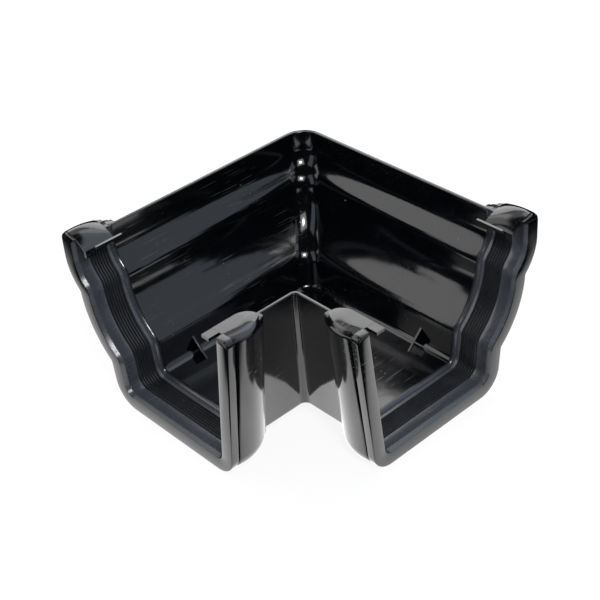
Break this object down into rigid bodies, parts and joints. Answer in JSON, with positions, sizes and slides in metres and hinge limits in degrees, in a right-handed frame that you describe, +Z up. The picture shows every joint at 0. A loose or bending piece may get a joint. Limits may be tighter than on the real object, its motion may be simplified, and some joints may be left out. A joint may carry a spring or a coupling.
{
  "type": "gutter external angle",
  "caption": "Black ogee gutter external angle: a trough turning a right angle round a building's outside corner, with a sealed, clipped socket at each end.",
  "frame": {"origin": "below the point where the outer lines of the two back walls' top edges meet, at the level of the trough's underside", "axes": "+Z up; the left arm runs towards -X and the right arm towards -Y; the outside corner of the gutter points to +X +Y"},
  "size_m": [0.1701, 0.1701, 0.0944],
  "materials": {
    "moulding": "black, glossy, with fine dust and hairline scratches",
    "seal": "dark grey, satin"
  },
  "bodies": {
    "root": {"angle_body": "moulding", "left_seal": "seal", "right_seal": "seal"}
  },
  "joints": []
}
